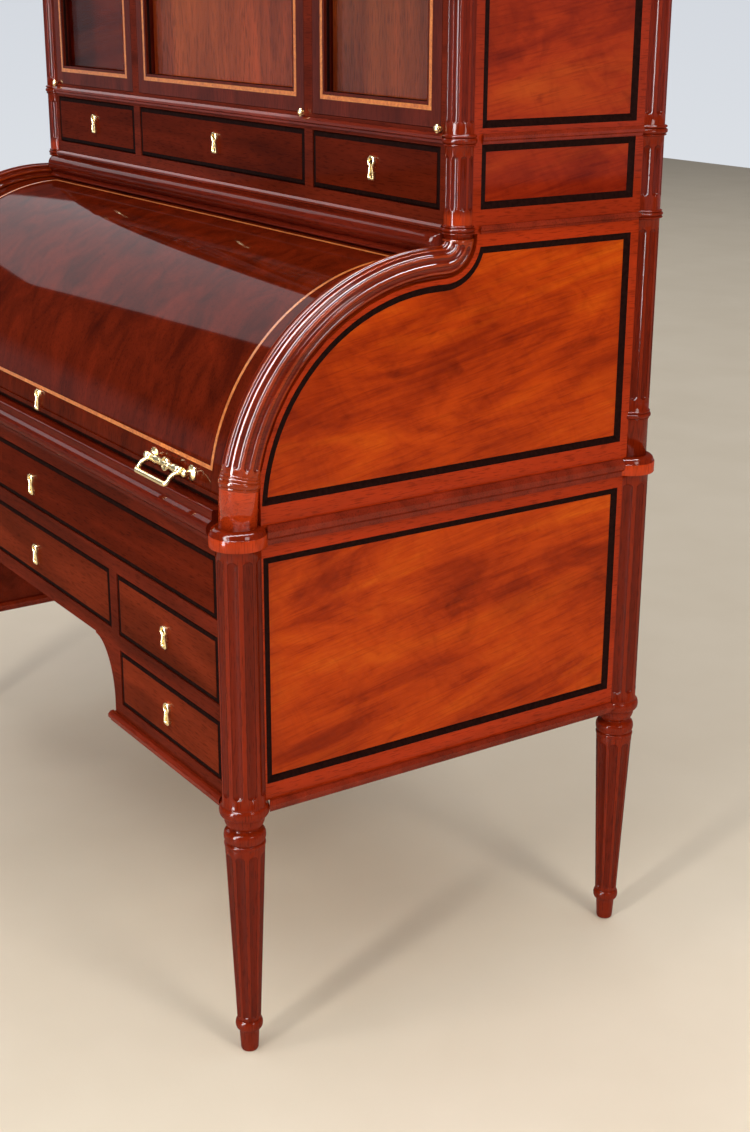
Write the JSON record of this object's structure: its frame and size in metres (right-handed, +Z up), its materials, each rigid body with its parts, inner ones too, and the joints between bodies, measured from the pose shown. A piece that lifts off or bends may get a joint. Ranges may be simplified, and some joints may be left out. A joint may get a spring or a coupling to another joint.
{
  "type": "cylinder desk",
  "caption": "Cylinder desk with a rotating curved lid, writing slide and drawers, on turned fluted posts, under a glazed bookcase with doors and small drawers.",
  "frame": {"origin": "on the floor under the middle of the desk's bounding box", "axes": "+Z up, the front with the drawers faces -Y, +X to the right of someone facing the back"},
  "size_m": [1.368, 0.7239, 2.1],
  "materials": {
    "mahogany": "French polished",
    "drawer_oak": "waxed",
    "ebony": "polished",
    "brass": "polished",
    "steel": "brushed",
    "glass": "clear"
  },
  "bodies": {
    "carcass": {"cabinet_back": "mahogany", "cabinet_boards": "mahogany", "cabinet_frame": "mahogany", "cabinet_posts_front": "mahogany", "cabinet_posts_rear": "mahogany", "cabinet_side_left": "mahogany", "cabinet_side_right": "mahogany", "cornice": "mahogany", "deck": "mahogany", "desk_back": "mahogany", "desk_side_left": "mahogany", "desk_side_right": "mahogany", "door_hinges": "brass", "dust_boards": "drawer_oak", "front_frame": "mahogany", "mouldings": "mahogany", "nest_case": "drawer_oak", "pedestal_sides": "mahogany", "pivot_plates": "brass", "posts_front": "mahogany", "posts_rear": "mahogany", "scrolls": "mahogany", "shelves": "mahogany", "side_bands": "ebony", "top_roll": "mahogany"},
    "cylinder": {"cylinder": "mahogany", "cylinder_arms": "steel", "handle_mounts": "brass"},
    "bail_right": {"bail_right": "brass"},
    "bail_left": {"bail_left": "brass"},
    "slide": {"slide_front": "mahogany", "slide_board": "drawer_oak"},
    "frieze_drawer": {"frieze_drawer_front": "mahogany", "frieze_drawer_box": "drawer_oak"},
    "knee_drawer": {"knee_drawer_front": "mahogany", "knee_drawer_box": "drawer_oak"},
    "upper_drawer_right": {"upper_drawer_right_front": "mahogany", "upper_drawer_right_box": "drawer_oak"},
    "upper_drawer_left": {"upper_drawer_left_front": "mahogany", "upper_drawer_left_box": "drawer_oak"},
    "lower_drawer_right": {"lower_drawer_right_front": "mahogany", "lower_drawer_right_box": "drawer_oak"},
    "lower_drawer_left": {"lower_drawer_left_front": "mahogany", "lower_drawer_left_box": "drawer_oak"},
    "cabinet_drawer_left": {"cabinet_drawer_left_front": "mahogany", "cabinet_drawer_left_box": "drawer_oak"},
    "cabinet_drawer_centre": {"cabinet_drawer_centre_front": "mahogany", "cabinet_drawer_centre_box": "drawer_oak"},
    "cabinet_drawer_right": {"cabinet_drawer_right_front": "mahogany", "cabinet_drawer_right_box": "drawer_oak"},
    "door_left": {"door_left_frame": "mahogany", "door_left_glass": "glass"},
    "door_centre": {"door_centre_frame": "mahogany", "door_centre_glass": "glass"},
    "door_right": {"door_right_frame": "mahogany", "door_right_glass": "glass"}
  },
  "joints": [
    {"name": "cylinder_turn", "type": "hinge", "parent": "carcass", "child": "cylinder", "pos_m": [0, -0.031, 0.768], "axis": [-1, 0, 0], "range_deg": [0, 75]},
    {"name": "bail_right_swing", "type": "hinge", "parent": "cylinder", "child": "bail_right", "pos_m": [0.445, -0.33234, 0.79967], "axis": [-1, 0, 0], "range_deg": [0, 95]},
    {"name": "bail_left_swing", "type": "hinge", "parent": "cylinder", "child": "bail_left", "pos_m": [-0.445, -0.33234, 0.79967], "axis": [-1, 0, 0], "range_deg": [0, 95]},
    {"name": "slide_pull", "type": "slide", "parent": "carcass", "child": "slide", "axis": [0, -1, 0], "range_m": [0, 0.28]},
    {"name": "frieze_drawer_pull", "type": "slide", "parent": "carcass", "child": "frieze_drawer", "axis": [0, -1, 0], "range_m": [0, 0.38]},
    {"name": "knee_drawer_pull", "type": "slide", "parent": "carcass", "child": "knee_drawer", "axis": [0, -1, 0], "range_m": [0, 0.32]},
    {"name": "upper_drawer_right_pull", "type": "slide", "parent": "carcass", "child": "upper_drawer_right", "axis": [0, -1, 0], "range_m": [0, 0.42]},
    {"name": "upper_drawer_left_pull", "type": "slide", "parent": "carcass", "child": "upper_drawer_left", "axis": [0, -1, 0], "range_m": [0, 0.42]},
    {"name": "lower_drawer_right_pull", "type": "slide", "parent": "carcass", "child": "lower_drawer_right", "axis": [0, -1, 0], "range_m": [0, 0.42]},
    {"name": "lower_drawer_left_pull", "type": "slide", "parent": "carcass", "child": "lower_drawer_left", "axis": [0, -1, 0], "range_m": [0, 0.42]},
    {"name": "cabinet_drawer_left_pull", "type": "slide", "parent": "carcass", "child": "cabinet_drawer_left", "axis": [0, -1, 0], "range_m": [0, 0.2]},
    {"name": "cabinet_drawer_centre_pull", "type": "slide", "parent": "carcass", "child": "cabinet_drawer_centre", "axis": [0, -1, 0], "range_m": [0, 0.2]},
    {"name": "cabinet_drawer_right_pull", "type": "slide", "parent": "carcass", "child": "cabinet_drawer_right", "axis": [0, -1, 0], "range_m": [0, 0.2]},
    {"name": "door_left_swing", "type": "hinge", "parent": "carcass", "child": "door_left", "pos_m": [-0.598, -0.01, 1.6], "axis": [0, 0, -1], "range_deg": [0, 95]},
    {"name": "door_centre_swing", "type": "hinge", "parent": "carcass", "child": "door_centre", "pos_m": [0.265, -0.01, 1.6], "axis": [0, 0, 1], "range_deg": [0, 95]},
    {"name": "door_right_swing", "type": "hinge", "parent": "carcass", "child": "door_right", "pos_m": [0.598, -0.01, 1.6], "axis": [0, 0, 1], "range_deg": [0, 95]}
  ]
}
